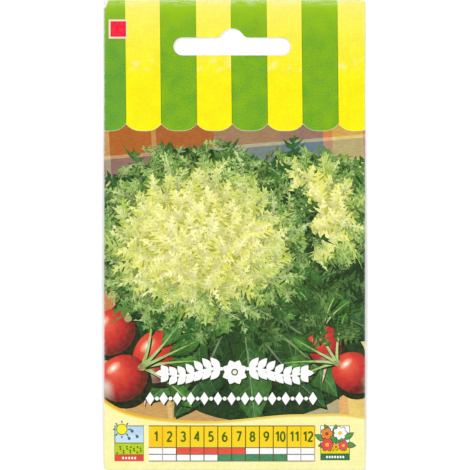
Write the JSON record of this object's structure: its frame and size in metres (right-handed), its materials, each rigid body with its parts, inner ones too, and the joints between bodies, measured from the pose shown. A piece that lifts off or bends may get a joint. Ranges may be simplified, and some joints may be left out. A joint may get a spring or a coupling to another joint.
{
  "type": "seed packet",
  "caption": "Flat paper packet for garden seeds, folded and glued from one printed sheet, with a hang slot and striped header, slightly swollen by its seeds.",
  "frame": {"origin": "middle of the rectangle that the packet covers, on the surface that it lies on", "axes": "+Z out of the printed front, +Y towards the header with the hang slot, +X to the right of the front"},
  "size_m": [0.071, 0.128, 0.0032],
  "materials": {
    "printed_paper": "satin",
    "glue": "satin",
    "seeds": "matte"
  },
  "bodies": {
    "root": {"packet": "printed_paper", "glue_bottom_flap": "glue", "glue_top_flap": "glue", "glue_side_seam": "glue", "glue_header_seal": "glue", "seeds": "seeds"}
  },
  "joints": []
}
